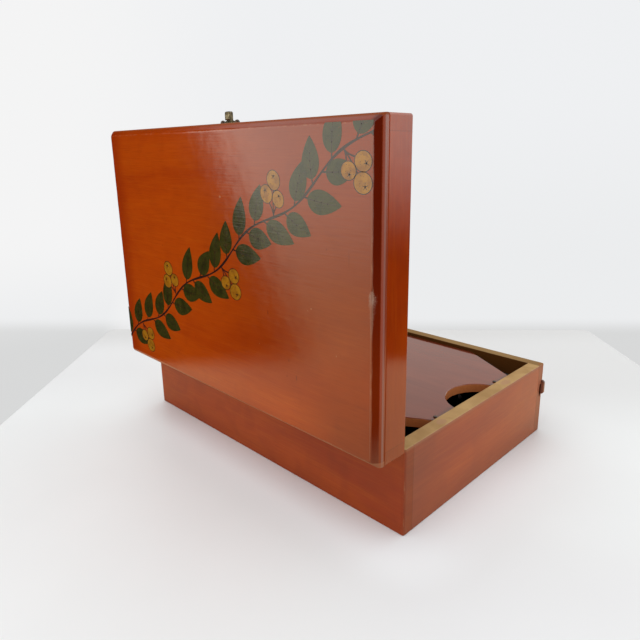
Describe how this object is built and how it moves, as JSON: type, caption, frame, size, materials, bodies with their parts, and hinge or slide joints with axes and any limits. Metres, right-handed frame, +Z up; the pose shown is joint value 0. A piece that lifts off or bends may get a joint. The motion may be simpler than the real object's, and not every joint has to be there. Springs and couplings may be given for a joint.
{
  "type": "wooden watercolour paint box",
  "caption": "Hinged wooden watercolour paint box, lid open, with cover board, black tin tray, pans of paint, dishes, cup and brushes.",
  "frame": {"origin": "centre of the base's underside", "axes": "+X along the box, -Y to the front with the clasp, +Y to the hinges, +Z up; the lid stands open"},
  "size_m": [0.2622, 0.2001, 0.2349],
  "materials": {
    "varnished_wood": "glossy orange-brown varnish, worn",
    "bare_wood": "bare pale wood",
    "board_wood": "glossy red-brown varnish",
    "brass": "aged",
    "dark_steel": "dark, aged",
    "black_japan": "glossy black japan",
    "white_glaze": "glazed white",
    "black_lacquer": "black lacquer",
    "nickel": "nickel plate",
    "hair": "soft hair",
    "lemon_yellow": "dry paint",
    "gamboge": "dry paint",
    "vermilion": "dry paint",
    "crimson_lake": "dry paint",
    "ultramarine": "dry paint",
    "prussian_blue": "dry paint",
    "chinese_white": "dry paint",
    "yellow_ochre": "dry paint",
    "light_red": "dry paint",
    "burnt_sienna": "dry paint",
    "sap_green": "dry paint",
    "sepia": "dry paint"
  },
  "bodies": {
    "base": {"base_front": "varnished_wood", "base_back": "varnished_wood", "base_left_end": "varnished_wood", "base_right_end": "varnished_wood", "base_bottom": "varnished_wood", "left_liner": "bare_wood", "right_liner": "bare_wood", "side_tab": "varnished_wood", "base_hinge_leaf_left": "brass", "base_hinge_leaf_right": "brass", "hinge_pins": "brass", "base_hinge_screws": "brass", "catch_plate": "brass", "catch_screws": "dark_steel"},
    "lid": {"lid_top": "varnished_wood", "lid_front": "varnished_wood", "lid_back": "varnished_wood", "lid_left_end": "varnished_wood", "lid_right_end": "varnished_wood", "lid_hinge_leaf_left": "brass", "lid_hinge_leaf_right": "brass", "lid_hinge_screws": "brass", "clasp_plate": "brass", "clasp_pin": "brass", "clasp_screws": "dark_steel"},
    "clasp_arm": {"clasp_arm": "brass"},
    "cover_board": {"cover_board": "board_wood", "board_pins": "dark_steel"},
    "tray": {"tray": "black_japan", "tray_dividers": "black_japan", "paint_pans": "white_glaze", "paint_lemon_yellow": "lemon_yellow", "paint_gamboge": "gamboge", "paint_vermilion": "vermilion", "paint_crimson_lake": "crimson_lake", "paint_ultramarine": "ultramarine", "paint_prussian_blue": "prussian_blue", "paint_chinese_white": "chinese_white", "paint_yellow_ochre": "yellow_ochre", "paint_light_red": "light_red", "paint_burnt_sienna": "burnt_sienna", "paint_sap_green": "sap_green", "paint_sepia": "sepia"},
    "mixing_dish_left": {"mixing_dish_left": "white_glaze"},
    "mixing_dish_right": {"mixing_dish_right": "white_glaze"},
    "water_cup": {"water_cup": "black_japan"},
    "brush_large": {"brush_large_handle": "black_lacquer", "brush_large_ferrule": "nickel", "brush_large_tuft": "hair"},
    "brush_medium": {"brush_medium_handle": "black_lacquer", "brush_medium_ferrule": "nickel", "brush_medium_tuft": "hair"},
    "brush_small": {"brush_small_handle": "black_lacquer", "brush_small_ferrule": "nickel", "brush_small_tuft": "hair"}
  },
  "joints": [
    {"name": "lid_hinge", "type": "hinge", "parent": "base", "child": "lid", "pos_m": [0, 0.08645, 0.05445], "axis": [-1, 0, 0], "range_deg": [-90, 0]},
    {"name": "clasp_swing", "type": "hinge", "parent": "lid", "child": "clasp_arm", "pos_m": [0.0065, 0.0896, 0.2283], "axis": [-1, 0, 0], "range_deg": [-90, 40]},
    {"name": "tray_lift", "type": "slide", "parent": "base", "child": "tray", "axis": [0, 0, 1], "range_m": [0, 0.045]},
    {"name": "board_lift", "type": "slide", "parent": "tray", "child": "cover_board", "axis": [0, 0, 1], "range_m": [0, 0.045]},
    {"name": "left_dish_lift", "type": "slide", "parent": "tray", "child": "mixing_dish_left", "axis": [0, 0, 1], "range_m": [0, 0.012]},
    {"name": "right_dish_lift", "type": "slide", "parent": "tray", "child": "mixing_dish_right", "axis": [0, 0, 1], "range_m": [0, 0.012]},
    {"name": "water_cup_lift", "type": "slide", "parent": "tray", "child": "water_cup", "axis": [0, 0, 1], "range_m": [0, 0.007]},
    {"name": "brush_large_lift", "type": "slide", "parent": "tray", "child": "brush_large", "axis": [0, 0, 1], "range_m": [0, 0.014]},
    {"name": "brush_medium_lift", "type": "slide", "parent": "tray", "child": "brush_medium", "axis": [0, 0, 1], "range_m": [0, 0.014]},
    {"name": "brush_small_lift", "type": "slide", "parent": "tray", "child": "brush_small", "axis": [0, 0, 1], "range_m": [0, 0.014]}
  ]
}
